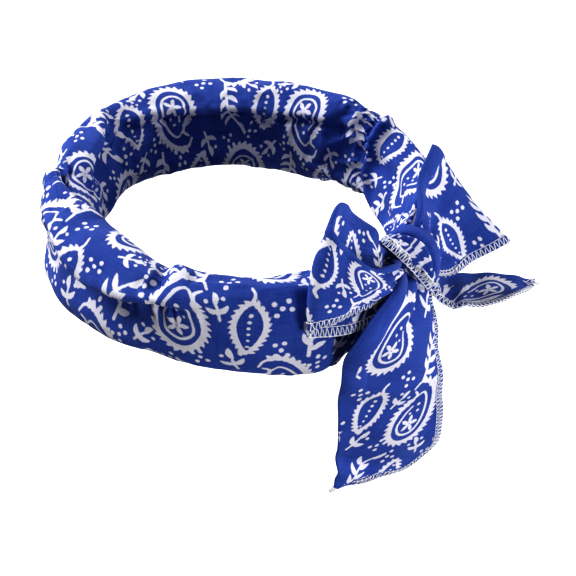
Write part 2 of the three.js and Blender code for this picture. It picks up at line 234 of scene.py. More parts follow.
class Shade:
    """One output in a material's nodes. Its operators add Math nodes, and node() adds any other kind."""

    def __init__(self, tree, socket=None):
        self.tree, self.socket = tree, socket

    def node(self, kind, settings=(), inputs=(), output=0):
        made = self.tree.nodes.new(kind)
        for name, value in dict(settings).items():
            setattr(made, name, value)
        for name, value in dict(inputs).items():
            if isinstance(value, Shade):
                self.tree.links.new(value.socket, made.inputs[name])
            else:
                made.inputs[name].default_value = value
        return Shade(self.tree, made.outputs[output])

    def maths(self, operation, *values):
        return self.node("ShaderNodeMath", {"operation": operation}, dict(enumerate(values)))

    def __add__(self, other):
        return self.maths("ADD", self, other)

    def __sub__(self, other):
        return self.maths("SUBTRACT", self, other)

    def __rsub__(self, other):
        return self.maths("SUBTRACT", other, self)

    def __mul__(self, other):
        return self.maths("MULTIPLY", self, other)

    def __truediv__(self, other):
        return self.maths("DIVIDE", self, other)

    __radd__, __rmul__ = __add__, __mul__

    def sine(self):
        return self.maths("SINE", self)

    def kept(self, low=0.0, high=1.0):
        return self.node("ShaderNodeClamp", (), {"Value": self, "Min": low, "Max": high})

    def colour(self, first, second):
        """Two colours mixed, with this value as the factor."""
        return self.node("ShaderNodeMix", {"data_type": "RGBA"}, {0: self, 6: first, 7: second}, 2)

    def feeds(self, shader, name):
        """Links this output to a socket of a shader."""
        self.tree.links.new(self.socket, shader.inputs[name])


def new_material(name, **constants):
    """A material with a plain shader, whose constants are set on the shader's own sockets."""
    material = bpy.data.materials.new(name)
    material.use_nodes = True
    shader = material.node_tree.nodes["Principled BSDF"]
    for socket, value in constants.items():
        shader.inputs[socket.replace("_", " ")].default_value = value
    return material, shader, Shade(material.node_tree)


dye_blue = (0.04, 0.088, 0.38, 1)
dye_deep = (0.022, 0.052, 0.29, 1)
print_white = (0.8, 0.79, 0.87, 1)
print_thin = (0.66, 0.65, 0.77, 1)
ink_bleed, ink_spread, ink_softness = 0.5, 0.12, 0.34
thread_pitch = 0.42
uv_scale = 0.01

cotton, cotton_shader, cotton_nodes = new_material(
    "block_printed_cotton", Specular_IOR_Level=0.15, Sheen_Weight=0.05, Sheen_Roughness=0.5
)
cotton_spot = cotton_nodes.node("ShaderNodeUVMap", {"uv_map": "cloth"})
warp, weft = (
    cotton_nodes.node("ShaderNodeSeparateXYZ", (), {0: cotton_spot}, axis) * (1 / uv_scale)
    for axis in (0, 1)
)


def cloth_noise(x_scale, y_scale, detail=2.0):
    """Noise on the flat cloth, in waves per millimetre each way."""
    stretched = cotton_nodes.node(
        "ShaderNodeVectorMath",
        {"operation": "MULTIPLY"},
        {0: cotton_spot, 1: (x_scale / uv_scale, y_scale / uv_scale, 1)},
    )
    return cotton_nodes.node("ShaderNodeTexNoise", (), {"Vector": stretched, "Scale": 1.0, "Detail": detail})


print_edge = cotton_nodes.node("ShaderNodeAttribute", {"attribute_name": "print"}, (), 2)
bleed = cloth_noise(0.8, 0.8) - 0.5
ink = (0.5 - (print_edge + bleed * ink_bleed - ink_spread) / ink_softness).kept()
weave = (warp * (np.pi / thread_pitch)).sine() * (weft * (np.pi / thread_pitch)).sine()
slub = cloth_noise(0.05, 2.2) + cloth_noise(2.2, 0.05) - 1.0
fuzz = cloth_noise(1.4, 1.4) - 0.5
# how worn the colour is: broad faded patches, the thick places of the yarn, and its fuzz
worn = (cloth_noise(0.06, 0.06, 3.0) * 1.4 - 0.2 + slub * 1.6 + fuzz * 1.2).kept()
blue = worn.colour(dye_deep, dye_blue)
white = (worn * 0.7 + weave * 0.15 + 0.25).kept().colour(print_thin, print_white)
ink.colour(blue, white).feeds(cotton_shader, "Base Color")
(0.92 - ink * 0.08 - worn * 0.06).feeds(cotton_shader, "Roughness")
nap = weave * 0.5 + slub * 1.4 + fuzz * 0.8
nap_bump = {"Strength": 0.55, "Distance": 0.00012, "Height": nap}
cotton_nodes.node("ShaderNodeBump", (), nap_bump).feeds(cotton_shader, "Normal")


def unit(vectors):
    """The vectors made one long."""
    return vectors / np.maximum(np.linalg.norm(vectors, axis=-1, keepdims=True), 1e-9)


def facing(grid):
    """The way that a grid of points faces: its run down the rows crossed with its run along them."""
    return unit(np.cross(np.gradient(grid, axis=0), np.gradient(grid, axis=1)))


def closed_grid(rows, columns):
    """Quads of a grid whose columns close on themselves, and the fans that close its first and last row."""
    i, j = np.meshgrid(np.arange(rows - 1), np.arange(columns), indexing="ij")
    k = (j + 1) % columns
    quads = np.stack([i * columns + j, i * columns + k, (i + 1) * columns + k, (i + 1) * columns + j], -1)
    here, on = np.arange(columns), np.roll(np.arange(columns), -1)
    last_row, hub = (rows - 1) * columns, rows * columns
    first_fan = np.stack([on, here, np.full(columns, hub)], -1)
    last_fan = np.stack([last_row + here, last_row + on, np.full(columns, hub + 1)], -1)
    return quads.reshape(-1, 4), np.concatenate([first_fan, last_fan])


def outward(points, quads):
    """Whether the quads face outwards, by the sign of the volume that they hold."""
    a, b, c, d = (points[quads[:, k]] for k in range(4))
    return np.sum(a * np.cross(b, c) + a * np.cross(c, d)) > 0


def wrapped(grid, flat):
    """A closed grid's points, with a hub for each end; its quads and end fans, turned to face outwards; and
    the flat places of the quads' corners. flat has one more column than the grid, where it closes."""
    points = np.concatenate([grid.reshape(-1, 3), grid[[0, -1]].mean(1)])
    quads, fans = closed_grid(*grid.shape[:2])
    corners = np.stack([flat[:-1, :-1], flat[:-1, 1:], flat[1:, 1:], flat[1:, :-1]], 2).reshape(-1, 4, 2)
    if not outward(points, quads):
        quads, corners, fans = quads[:, ::-1], corners[:, ::-1], fans[:, ::-1]
    return points, quads, fans, corners


def made_piece(name, points, faces, flat_corners, material):
    """A piece on the wrap's one body, from points in millimetres, with its flat places as its UV map."""
    mesh = bpy.data.meshes.new(name)
    mesh.from_pydata((points * mm).tolist(), [], faces)
    mesh.shade_smooth()
    uv = mesh.uv_layers.new(name="cloth")
    uv.data.foreach_set("uv", flat_corners.ravel() * uv_scale)
    mesh.materials.append(material)
    piece = bpy.data.objects.new(name, mesh)
    bpy.context.scene.collection.objects.link(piece)
    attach(piece, "root")
    return piece


def sewn(name, grid, flat, print_at):
    """A closed piece of cloth from a grid of points in millimetres. flat holds each point's place on the
    flat cloth, and print_at is the print's distance at each point."""
    points, quads, fans, corners = wrapped(grid, flat)
    fan_corners = np.tile(flat[0, 0], (3 * len(fans), 1))
    flat_corners = np.concatenate([corners.reshape(-1, 2), fan_corners])
    piece = made_piece(name, points, quads.tolist() + fans.tolist(), flat_corners, cotton)
    marks = piece.data.attributes.new("print", "FLOAT", "POINT")
    marks.data.foreach_set("value", np.concatenate([print_at.ravel(), [open_ground] * 2]))
    return piece


# The band. One long cotton strip sewn to a tube, its middle stuffed plump with the cooling filling, its ends
# left empty, flat and drawn in to the knot. The seam runs along its lower edge, and the filling stops where
# the band goes flat.
ring_radius, tube_height, tube_depth = 93, 54, 30
tie_width = 57
near_turn, tube_start, tube_end, far_turn = 4, 25, 291, 356
section_power, crease_spread, seam_angle = 2.3, 24, 276
band_girth = 136
cloth_step = 0.8
swelling_kept = 0.2
coarse_rows, coarse_columns = 200, 56

# turn in degrees from the knot, clockwise from above; radius in ring radii; rise and height in tube heights;
# depth in tube depths; lean in degrees; creases of the outer and inner side in tube depths
band_rows = np.array([
    (4, 1.0, 0.11, 0.36, 0.34, 0, 0, 0),
    (14, 0.97, 0, 0.66, 0.36, 0, 0, 0),
    (25, 0.98, -0.08, 1.0, 0.64, 0, 0, 0),
    (38, 1.02, -0.05, 1.04, 1.02, 0, 0, 0),
    (54, 1.01, -0.01, 1.02, 1.1, 2, 0, 0),
    (70, 0.99, 0.02, 0.98, 1.14, 4, 0.02, 0),
    (85, 0.98, 0.02, 0.95, 1.08, 2, 0.1, 0.05),
    (100, 0.97, 0.02, 0.98, 1.16, -3, 0.2, 0),
    (124, 0.98, 0.02, 0.96, 1.16, -4, 0.22, 0),
    (142, 0.98, 0.01, 0.95, 1.0, 0, 0.16, 0),
    (153, 0.96, 0, 0.94, 0.82, 4, 0.04, 0.04),
    (170, 0.98, 0, 0.98, 0.92, 4, 0, 0.04),
    (190, 1.0, 0, 0.94, 0.88, 6, 0, 0.1),
    (212, 0.99, 0, 0.97, 1.04, 4, 0, 0.14),
    (240, 0.95, 0, 0.98, 1.04, 2, 0, 0.16),
    (268, 0.93, 0, 1.0, 0.98, 2, 0, 0.1),
    (284, 0.95, 0.02, 0.96, 0.8, 6, 0, 0.03),
    (292, 0.95, 0.03, 0.86, 0.6, 14, 0, 0),
    (306, 0.94, 0.01, 0.86, 0.42, 28, 0, 0),
    (322, 0.95, 0, 0.8, 0.34, 32, 0, 0),
    (340, 0.94, 0.02, 0.58, 0.32, 22, 0, 0),
    (356, 0.97, 0.11, 0.34, 0.32, 8, 0, 0),
])


def section(turn, degrees):
    """The band's outline across the strip and up it: a squarish oval, creased on its outer and inner side."""
    row = through(band_rows[:, 0], band_rows[:, 1:], turn)
    height, depth, out_crease, in_crease = (row[:, k, None] for k in (2, 3, 5, 6))
    angle = np.radians(degrees)

    def rounded(part):
        return np.sign(part) * np.abs(part) ** (2 / section_power)

    def crease(centre):
        return np.exp(-(((degrees - centre + 180) % 360 - 180) / crease_spread) ** 2)

    dent = out_crease * crease(0) - in_crease * crease(180)
    across = (rounded(np.cos(angle)) * depth / 2 - dent) * tube_depth
    return across, rounded(np.sin(angle)) * height * tube_height / 2


def in_ring(turn, across, high):
    """Places in the band's sections set round the neck, each leaning in the upright plane at its turn."""
    row = through(band_rows[:, 0], band_rows[:, 1:], turn)
    radius, rise = row[:, 0, None] * ring_radius, row[:, 1, None] * tube_height
    lean = np.radians(row[:, 4, None])
    heading = np.radians(-90 - np.asarray(turn))[:, None]
    out = radius + across * np.cos(lean) + high * np.sin(lean)
    up = rise + high * np.cos(lean) - across * np.sin(lean)
    return np.stack([out * np.cos(heading), out * np.sin(heading), up], -1)


def even_degrees(count):
    """Angles round the section that divide a typical outline into equal lengths, from the seam back to it."""
    typical_turn, degrees = np.array([200.0]), np.linspace(0, 360, 721)
    across, high = section(typical_turn, degrees[None, :] + seam_angle)
    run = np.concatenate([[0], np.cumsum(np.hypot(np.diff(across[0]), np.diff(high[0])))])
    return seam_angle + np.interp(np.linspace(0, run[-1], count + 1)[:-1], run, degrees)


def finer(grid, rows, columns):
    """A closed grid made finer by cubics, first down its rows and then round its columns, which close."""
    count = grid.shape[1]
    down = through(np.arange(len(grid)), grid.reshape(len(grid), -1), rows)
    down = down.reshape(len(rows), *grid.shape[1:])
    padded = np.concatenate([down[:, -2:], down, down[:, :3]], 1).swapaxes(0, 1)
    turned = through(np.arange(-2, count + 3), padded.reshape(count + 5, -1), columns)
    return turned.reshape(len(columns), len(rows), 3).swapaxes(0, 1)


def away_from(grid):
    """The outward normals of a closed grid, whose last column meets its first."""
    normal = facing(np.concatenate([grid[:, -1:], grid, grid[:, :1]], 1))[:, 1:-1]
    points = np.concatenate([grid.reshape(-1, 3), grid[[0, -1]].mean(1)])
    return -normal if outward(points, closed_grid(*grid.shape[:2])[0]) else normal


def evened(field, times=60):
    """A field on the closed grid, averaged with its neighbours until only its broad run is left."""
    for _ in range(times):
        for way in (0, 1):
            field = 0.5 * field + 0.25 * (np.roll(field, 1, way) + np.roll(field, -1, way))
    return field


def puffed(grid, pinned, cap):
    """The grid blown up as cloth: pressure inside, no gravity, a little growth so that it buckles, and its
    pinned rows held. Most of the shift's broad run is taken off again, and no point moves past cap."""
    steps = 20
    rows, columns = grid.shape[:2]
    points, quads, fans, _ = wrapped(grid, np.zeros((rows, columns + 1, 2)))
    mesh = bpy.data.meshes.new("stuffing")
    mesh.from_pydata((points * mm).tolist(), [], quads.tolist() + fans.tolist())
    bag = bpy.data.objects.new("stuffing", mesh)
    bpy.context.scene.collection.objects.link(bag)
    pins = bag.vertex_groups.new(name="pins")
    weight = np.concatenate([np.repeat(pinned, columns), [1, 1]])
    for level in np.unique(weight):
        pins.add(np.flatnonzero(weight == level).tolist(), float(level), "REPLACE")
    blown = bag.modifiers.new("cloth", "CLOTH")
    cloth = blown.settings
    cloth.quality = 6
    cloth.mass = 0.15
    cloth.tension_stiffness, cloth.compression_stiffness, cloth.shear_stiffness = 20, 20, 6
    cloth.bending_stiffness = 0.4
    cloth.vertex_group_mass = "pins"
    cloth.use_pressure, cloth.uniform_pressure_force = True, 4
    cloth.shrink_min = -0.05
    cloth.effector_weights.gravity = 0
    blown.point_cache.frame_start = 1
    blown.point_cache.frame_end = steps + 4
    for moment in range(1, steps + 1):
        bpy.context.scene.frame_set(moment)
    result = bag.evaluated_get(bpy.context.evaluated_depsgraph_get()).to_mesh()
    moved = np.empty(len(points) * 3)
    result.vertices.foreach_get("co", moved)
    bpy.data.objects.remove(bag)
    bpy.context.scene.frame_set(1)
    shift = moved.reshape(-1, 3)[:-2].reshape(grid.shape) / mm - grid
    shift = shift - (1 - swelling_kept) * evened(shift)
    far = np.maximum(np.linalg.norm(shift, axis=-1, keepdims=True), 1e-6)
    return grid + shift * cap * np.tanh(far / cap) / far


def stuffed(turn, margin, ramp):
    """1 where the band is stuffed and 0 in the leads, with a straight ramp between the two."""
    begins = np.clip((turn - (tube_start - margin)) / ramp, 0, 1)
    return begins * np.clip((tube_end + margin - turn) / ramp, 0, 1)


coarse_turn = np.linspace(near_turn, far_turn, coarse_rows)
coarse_degrees = even_degrees(coarse_columns)
band = in_ring(coarse_turn, *section(coarse_turn, coarse_degrees[None, :]))
loosest = 0.05
held_rows = loosest + (1 - loosest) * (1 - stuffed(coarse_turn, 5, 10))
band = puffed(band, np.round(held_rows, 2), cap=3.5)

band_length = np.radians(far_turn - near_turn) * ring_radius
band_steps, girth_steps = round(band_length / cloth_step), round(band_girth / cloth_step)
fine_rows = np.linspace(0, coarse_rows - 1, band_steps)
band = finer(band, fine_rows, np.linspace(0, coarse_columns, girth_steps, endpoint=False))
band_turn = np.linspace(near_turn, far_turn, band_steps)
band_run = np.linspace(0, band_length, band_steps)[:, None]
girth = np.linspace(0, band_girth, girth_steps + 1)[None, :]
girth_here = girth[:, :-1]


def waves(x, y, seed, longest, shortest, count=14):
    """Soft uneven waves on the flat cloth: sines at seeded headings, lengths and phases, added and evened."""
    draw = np.random.default_rng(seed)
    total = 0
    for _ in range(count):
        heading, phase = draw.uniform(0, np.pi), draw.uniform(0, 2 * np.pi)
        number = 2 * np.pi / draw.uniform(shortest, longest)
        total = total + np.sin(number * (x * np.cos(heading) + y * np.sin(heading)) + phase)
    return total / np.sqrt(count)


pucker_reach, pleat_wide = 7, 17
from_seam = np.minimum(girth_here, band_girth - girth_here)
pucker = np.exp(-((from_seam / pucker_reach) ** 2)) * (1.1 + 0.9 * waves(band_run, 0 * band_run, 5, 14, 7, 6))
filled = stuffed(band_turn, 3, 12)[:, None]
crumple = 0.35 * waves(band_run, girth_here, 3, 34, 12)
pleat_phase = 0.6 * waves(band_run, 0 * band_run, 9, 60, 30, 4)
gathers = 0.9 * (1 - filled) * np.sin(girth_here * 2 * np.pi / pleat_wide + pleat_phase)
band_out = away_from(band)


def folded_in(rows, sharp, lip, step, ruffle, seed):
    """A crease pressed into the stuffed cloth along a line of turn, girth and depth. Across the line, with t
    the distance to its left: a narrow valley, a raised lip on the right, a low step on the left that fades
    out, and ruffles at right angles to the line."""
    line = np.array(rows, float)
    line[:, 0] = np.radians(line[:, 0] - near_turn) * ring_radius
    line = through(np.arange(len(line)), line, np.linspace(0, len(line) - 1, 6 * len(line)))
    start, step_on = line[:-1], np.diff(line, axis=0)
    places = np.stack(np.broadcast_arrays(band_run, girth_here), -1)
    away = places[..., None, :] - start[:, :2]
    share = np.sum(away * step_on[:, :2], -1) / np.sum(step_on[:, :2] ** 2, -1)
    share = np.clip(share, 0, 1)
    offset = away - share[..., None] * step_on[:, :2]
    gap = np.linalg.norm(offset, axis=-1)
    best = gap.argmin(-1)[..., None]
    side_of = np.sign(step_on[:, 0] * offset[..., 1] - step_on[:, 1] * offset[..., 0])
    gap, side_of, share = (np.take_along_axis(part, best, -1)[..., 0] for part in (gap, side_of, share))
    best = best[..., 0]
    depth = start[best, 2] + share * step_on[best, 2]
    t = gap * side_of

    def hump(centre, wide):
        return np.exp(-(((t - centre * sharp) / (wide * sharp)) ** 2))

    valley = -hump(0, 1)
    raised = lip * hump(-2.6, 2.2)
    lowered = -step * hump(2.4, 3.4) * (t > 0) * np.clip(t / sharp, 0, 1)
    ruffles = ruffle * waves(best + share, 0 * share, seed, 4.6, 2.0, 8) * hump(1.5, 3)
    return depth * (valley + raised + lowered) + ruffles * np.clip(depth / 2, 0, 1)


creases = sum(folded_in(*crease) for crease in [
    # the long crease of the outer side
    ([(138, 49, 0), (128, 48.5, 4), (117, 44, 6.5), (107, 38, 7.5), (97, 40, 7.5), (88, 43, 6.5),
      (80, 46.5, 5), (74, 48, 3), (64, 49, 0)], 1.9, 0.6, 0.6, 1.2, 61),
    # the kink, where the band bends sharply
    ([(122, 80, 0), (127, 75.5, 3), (134, 74, 5), (141, 70.5, 6.5), (150, 66, 7.5), (156, 56, 6.5),
      (158, 48, 4), (160, 38, 0)], 2.4, 0.6, 0.6, 0.3, 62),
    # a dimple on the top edge
    ([(86, 82, 0), (84, 73, 3.4), (82, 66, 4), (81.5, 59, 4), (83, 54, 2.4), (84, 50, 0)],
     3, 0.5, 0.2, 0, 63),
    # two folds of the inner side, behind the kink and at the back
    ([(158, 92, 0), (162, 86, 3), (172, 84.5, 5), (178, 81, 5.5), (184.5, 76, 5), (189, 70, 3.4),
      (193, 62, 0)], 2.6, 0.6, 1.0, 0.2, 64),
    ([(186, 78, 0), (194, 82, 3.6), (208, 86, 4.6), (222, 88, 4.4), (239, 87, 4.8), (251, 87.5, 4.4),
      (264, 85.5, 4.2), (282, 86, 2.4), (289, 86, 0)], 1.8, 0.4, 0.4, 1.0, 65),
    # the fold across the band where the filling stops
    ([(291, 56, 0), (292, 63, 3), (293, 70.5, 4), (292.6, 78, 4.6), (293.7, 91, 5), (296, 105.5, 5),
      (300, 118.5, 4), (306, 126, 0)], 1.7, 0.9, 0.7, 0, 66),
])
band = band + band_out * (crumple - pucker * filled * 1.1 + gathers + creases)[..., None]
band_flat = np.stack(np.broadcast_arrays(-band_run, girth + 20), -1)
band_print = printed(*np.moveaxis(band_flat[:, :-1], -1, 0))

ends = [0, *(int(np.searchsorted(band_turn, there)) for there in (tube_start, tube_end)), band_steps - 1]
for node, first, last in zip(("near_lead", "padded_tube", "far_lead"), ends[:-1], ends[1:]):
    stretch = slice(first, last + 1)
    stretch_cloth = sewn(node + "_cloth", band[stretch], band_flat[stretch], band_print[stretch])
    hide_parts(node)
    node == "padded_tube"

# The bow. The empty ends of the strip, folded double and tied: two loops and two tails, each flat cotton with
# a soft folded edge on one side and the overlocked edge on the other. They are held only by the knot.
knot_sink, knot_rise = 8, 5
knot_middle = np.array([0, -(ring_radius + tube_depth / 2 - knot_sink), knot_rise])
cloth_wall = 1.4
fold_columns = 7
strip_step = 0.75
hem_plain = 4.6
chain_length = 7.5
cut_share = {"long_tail": 0.85, "short_tail": 0.62}

# how far along the strip, from 0 at the knot to 1; the place of the overlocked edge in reaches, and the way
# from it to the fold in tie widths, each to the side, out and up; and the bulge between them in tie widths
near_loop_rows = np.array([
    (0.0, -0.149, -0.112, -0.047, 0.04, -0.014, 0.121, 0),
    (0.14, -0.38, 0.04, 0.05, -0.08, 0.03, 0.29, 0.03),
    (0.24, -0.62, 0.05, 0.09, -0.03, -0.04, 0.34, 0.06),
    (0.36, -0.88, -0.03, 0.1, 0.15, -0.04, 0.53, 0.07),
    (0.47, -1.14, -0.18, 0.11, 0.45, -0.05, 0.75, 0.06),
    (0.5, -1.14, -0.19, 0.07, 0.62, -0.08, 0.89, 0.03),
    (0.53, -1.12, -0.2, 0.03, 0.73, -0.1, 0.88, 0.02),
    (0.66, -0.86, -0.02, -0.04, 0.61, -0.28, 0.72, -0.03),
    (0.82, -0.48, 0.03, -0.1, 0.27, -0.21, 0.58, -0.02),
    (1.0, -0.1, -0.1, -0.1, 0.04, -0.12, 0.26, 0),
])
far_loop_rows = np.array([
    (0.0, 0.08, 0.14, -0.14, 0, -0.07, 0.35, 0),
    (0.16, 0.34, 0.26, -0.26, -0.19, -0.24, 0.69, 0.05),
    (0.32, 0.62, 0.4, -0.22, -0.19, -0.5, 0.82, 0.06),
    (0.46, 0.92, 0.6, -0.12, -0.12, -0.75, 0.86, 0.06),
    (0.52, 1, 0.58, -0.18, -0.1, -0.76, 0.78, 0.02),
    (0.68, 0.82, 0.4, -0.25, -0.17, -0.57, 0.67, -0.02),
    (0.84, 0.52, 0.24, -0.28, -0.13, -0.31, 0.57, 0),
    (1.0, 0.14, 0.08, -0.18, 0, -0.11, 0.29, 0),
])
long_tail_rows = np.array([
    (0.0, 0, 0.052, -0.043, -0.109, -0.225, 0.108, 0),
    (0.08, -0.026, 0.102, -0.095, -0.228, -0.225, 0.281, 0.01),
    (0.18, -0.01, 0.12, -0.2, -0.65, -0.08, 0.59, 0.03),
    (0.32, -0.04, 0.16, -0.3, -0.92, -0.22, 0.67, 0.06),
    (0.45, -0.07, 0.19, -0.4, -1.02, -0.37, 0.61, 0.07),
    (0.58, -0.08, 0.21, -0.56, -0.96, -0.51, 0.59, 0.06),
    (0.72, -0.06, 0.22, -0.78, -0.96, -0.57, 0.53, 0.05),
    (0.83, -0.06, 0.18, -0.96, -0.92, -0.51, 0.53, 0.04),
    (0.91, -0.18, 0.08, -1.04, -0.67, -0.31, 0.45, 0.02),
    (1.0, -0.49, -0.06, -0.98, -0.08, -0.02, 0.06, 0),
])
short_tail_rows = np.array([
    (0.0, 0.04, 0.14, -0.2, 0.07, -0.12, 0.04, 0),
    (0.2, 0.03, 0.32, -0.34, 0.38, -0.26, -0.02, 0.04),
    (0.45, 0.12, 0.46, -0.36, 0.59, -0.27, -0.11, 0.05),
    (0.7, 0.32, 0.6, -0.41, 0.59, -0.22, -0.13, 0.04),
    (0.88, 0.58, 0.68, -0.47, 0.4, -0.11, -0.1, 0.02),
    (1.0, 0.9, 0.73, -0.55, 0.1, -0.03, -0.03, 0),
])


def strip_middle(rows, reach, along, across, lift):
    """The strip's middle surface: its overlocked edge, plus the way to its fold, bulged between the two as a
    sine, and lifted off itself by its gathers and wrinkles."""
    row = through(rows[:, 0], rows[:, 1:], along)[:, None, :]
    flat = (row[..., :3] * reach + (1 - across)[:, None] * row[..., 3:6] * tie_width) * (1, -1, 1)
    bulge = row[..., 6] * tie_width * np.sin(np.pi * across)
    return flat + facing(flat) * (bulge + lift)[..., None] + knot_middle


def folded_strip(name, rows, reach, pleats, wrinkle, tuck, fold_swell, border, seed, shift):
    """A strip as two layers that meet at the overlocked edge and go round the fold in a half circle. Its
    middle surface is lifted by pleats at the knot, as a sine of a height and a number, at both ends of a
    loop; by wrinkles all over; and by one tuck, a bell of a height at a share of the width and a distance
    along. The layers stand apart by the cloth's thickness and, over the plain border at the fold, by its
    soft swell. On a tail the print lies straight along it, and swell and border fade out to the tip."""
    tail = name in cut_share
    fine = np.linspace(0, 1, 400)
    rough = strip_middle(rows, reach, fine, np.array([0.0, 0.5, 1.0]), 0)
    gone = np.concatenate([[0], np.cumsum(np.linalg.norm(np.diff(rough, axis=0), axis=-1).max(1))])
    length = gone[-1]
    along = np.interp(np.linspace(0, length, round(length / strip_step)), gone, fine)
    across = np.linspace(0, 1, round(tie_width / strip_step))
    run = np.interp(along, fine, gone)[:, None]
    width = across[None, :] * tie_width

    drawn = np.exp(-((run / (0.16 * length + 6)) ** 2))
    if not tail:
        drawn = drawn + np.exp(-(((length - run) / (0.1 * length + 6)) ** 2))
    pleat_height, pleat_count = pleats
    phase = 0.5 * waves(run, 0 * run, seed + 50, 50, 25, 4)
    lift = pleat_height * drawn * np.sin(2 * np.pi * pleat_count * across + phase)
    lift = lift + wrinkle * waves(run, width * 0.55, seed, 46, 15) * np.minimum(1, run / 12)
    tuck_height, tuck_share, tuck_run = tuck
    tuck_long, tuck_wide, tuck_slant = 24, 3.2, 0.12
    tuck_line = tuck_share * tie_width - tuck_slant * (run - tuck_run)
    past, beside = (run - tuck_run) / tuck_long, (width - tuck_line) / tuck_wide
    lift = lift + tuck_height * np.exp(-(past**2)) * np.exp(-(beside**2))
    middle = strip_middle(rows, reach, along, across, lift)
    normal = facing(middle)

    fade = 1 - np.clip((run / length - 0.3) / 0.3, 0, 1) * tail
    rolled = np.clip(1 - (2 * width / (border + 1) - 1) ** 2, 0, 1) ** 0.6
    half = cloth_wall / 2 + 0.3 * np.sin(np.pi * across) ** 2 + fold_swell * rolled * fade
    front, back = (middle + side * half[..., None] * normal for side in (1, -1))
    to_fold = unit(middle[:, :1] - middle[:, 1:2])
    bend = np.linspace(0, np.pi, fold_columns + 2)[1:-1, None]
    round_fold = half[:, :1, None] * (np.cos(bend) * normal[:, :1] + np.sin(bend) * to_fold)
    grid = np.concatenate([front[:, ::-1], middle[:, :1] + round_fold, back], 1)

    around = np.concatenate([width[0, ::-1], np.zeros(fold_columns), -width[0], [-2 * tie_width]])
    if tail:
        sideways = unit((middle[:, 0] - middle[:, -1]).mean(0))
        downwards = (middle[-1] - middle[0]).mean(0)
        x, y = grid @ sideways, -grid @ unit(downwards - (downwards @ sideways) * sideways)
        x[:, len(across):] = 2 * x[:, len(across) - 1 : len(across)] - x[:, len(across):]
        flat = np.stack([x, y], -1)
        flat = np.concatenate([flat, flat[:, :1]], 1)
    else:
        flat = np.stack(np.broadcast_arrays(run, around[None, :]), -1)
    flat = flat + np.asarray(shift, float)
    to_hem = np.linalg.norm(middle[:, :, None] - middle[None, None, ::2, -1], axis=-1).min(-1)
    to_hem = np.concatenate([to_hem[:, ::-1], np.repeat(to_hem[:, :1], fold_columns, 1), to_hem], 1)
    plain = np.maximum(border * fade - np.abs(around[:-1]), hem_plain - to_hem)
    print_at = np.maximum(printed(*np.moveaxis(flat[:, :-1], -1, 0)), plain)
    piece = sewn(name + "_cloth", grid, flat, print_at)
    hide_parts(name)
    edging = {"place": middle[:, -1], "inward": unit(middle[:, -2] - middle[:, -1]),
              "normal": normal[:, -1], "chain": chain_length * tail}
    return piece, edging, np.linalg.norm(np.diff(rough[:, 1], axis=0), axis=-1).sum()


strips = {
    "near_loop": dict(rows=near_loop_rows, reach=72, pleats=(3.2, 3), wrinkle=0.9, tuck=(-2.4, 0.55, 34),
                      fold_swell=0.8, border=5.0, seed=11, shift=(0, 43)),
    "far_loop": dict(rows=far_loop_rows, reach=52, pleats=(2.4, 3), wrinkle=0.9, tuck=(-1.6, 0.5, 18),
                     fold_swell=1.4, border=7.0, seed=21, shift=(60, 20)),
    "long_tail": dict(rows=long_tail_rows, reach=116, pleats=(2.0, 3), wrinkle=0.9, tuck=(-3, 0.5, 38),
                      fold_swell=2.2, border=11.0, seed=31, shift=(30, 44)),
    "short_tail": dict(rows=short_tail_rows, reach=62, pleats=(1.2, 2), wrinkle=0.6, tuck=(-1.5, 0.4, 24),
                       fold_swell=0.8, border=3.0, seed=41, shift=(0, 70)),
}
edgings = {}
for node, facts in strips.items():
    strip_cloth, edgings[node], strip_length = folded_strip(node, **facts)
    strip_area = cut_share.get(node, 1) * tie_width * strip_length * mm**2
    strip_size = (tie_width * mm, strip_length * mm)

# The overlocking. White spun thread that closes the strip's open edge: two loopers cross from the needle
# line to the cut edge and over it, and a needle thread runs inside them on each face. At a tail's tip the
# threads run on as a short loose chain.
stitch_pitch = 2.7
stitch_width = 4.2
thread_radius = 0.27
ply_turn = 0.9
chain_droop, chain_closing, chain_width = 0.05, 3, 0.3
thread_white = (0.95, 0.95, 0.96, 1)
# painted shade: the grey that the grooves between the thread's plies are painted with
thread_groove_shade = (0.8, 0.8, 0.84, 1)

thread, thread_shader, thread_nodes = new_material("spun_thread", Specular_IOR_Level=0.3, Sheen_Weight=0.2)
thread_spot = thread_nodes.node("ShaderNodeUVMap", {"uv_map": "cloth"})
ply = (
    thread_nodes.node("ShaderNodeSeparateXYZ", (), {0: thread_spot}, 0) * (2 * np.pi / ply_turn / uv_scale)
    + thread_nodes.node("ShaderNodeSeparateXYZ", (), {0: thread_spot}, 1) * (2 * np.pi / uv_scale)
).sine()
# painted shade: the thread is painted grey where the ply sinks, in the grooves between its plies, and white
# on their crowns
(ply * 0.3 + 0.7).kept().colour(thread_groove_shade, thread_white).feeds(thread_shader, "Base Color")
(0.9 - ply * 0.05).feeds(thread_shader, "Roughness")
ply_bump = {"Strength": 0.5, "Distance": 0.0001, "Height": ply}
thread_nodes.node("ShaderNodeBump", (), ply_bump).feeds(thread_shader, "Normal")


def tube(path, beside, radius, sides=4):
    """A thread along a path: a ring of points round each of its points, squared to the vectors beside it."""
    ahead = unit(np.gradient(path, axis=0))
    aside = unit(beside - np.sum(beside * ahead, -1, keepdims=True) * ahead)
    third = np.cross(ahead, aside)
    angle = np.linspace(0, 2 * np.pi, sides, endpoint=False)[:, None]
    return path[:, None] + radius * (np.cos(angle) * aside[:, None] + np.sin(angle) * third[:, None])


